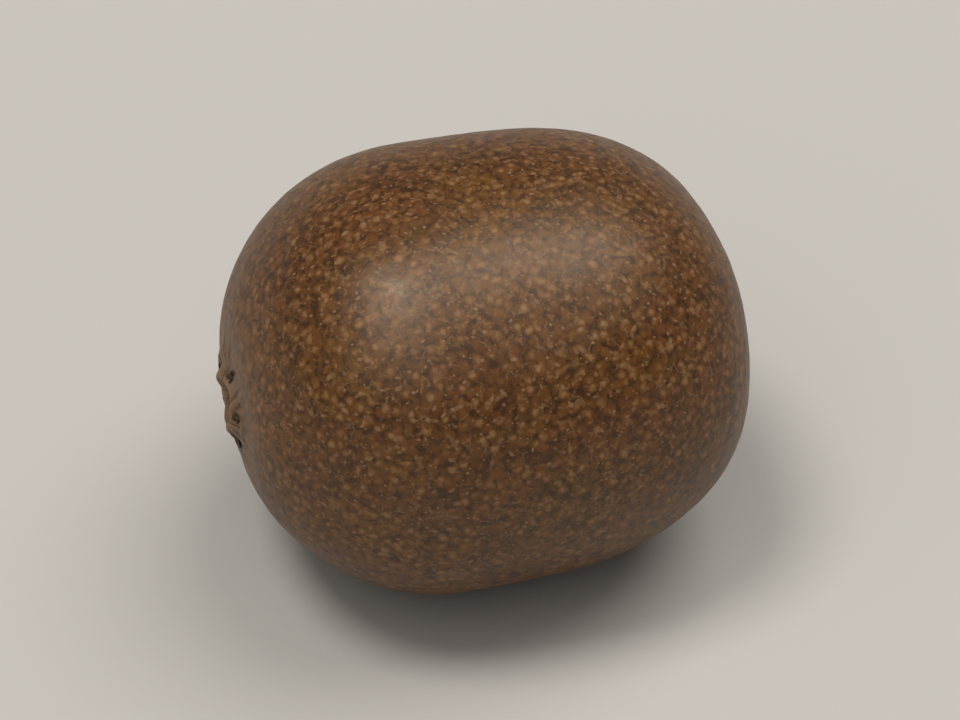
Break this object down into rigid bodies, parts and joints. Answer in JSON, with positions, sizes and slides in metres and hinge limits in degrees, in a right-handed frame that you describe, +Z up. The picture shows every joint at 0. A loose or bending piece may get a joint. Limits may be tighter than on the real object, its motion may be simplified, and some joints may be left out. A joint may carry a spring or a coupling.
{
  "type": "golden kiwi fruit",
  "caption": "Whole, uncut golden kiwi fruit lying on its side: a flattened barrel in smooth bronze-brown speckled skin, with a corky stem scar and a dried blossom end.",
  "frame": {"origin": "on the resting spot, under the middle of the fruit's box", "axes": "+X along the fruit from stem end to blossom end, +Y across its width, +Z up"},
  "size_m": [0.0636, 0.0562, 0.0523],
  "materials": {
    "kiwi_skin": "satin",
    "lenticel_cork": "matte",
    "stem_scar_cork": "matte",
    "dried_flower": "matte"
  },
  "bodies": {
    "root": {"kiwi_fruit": "kiwi_skin"}
  },
  "joints": []
}
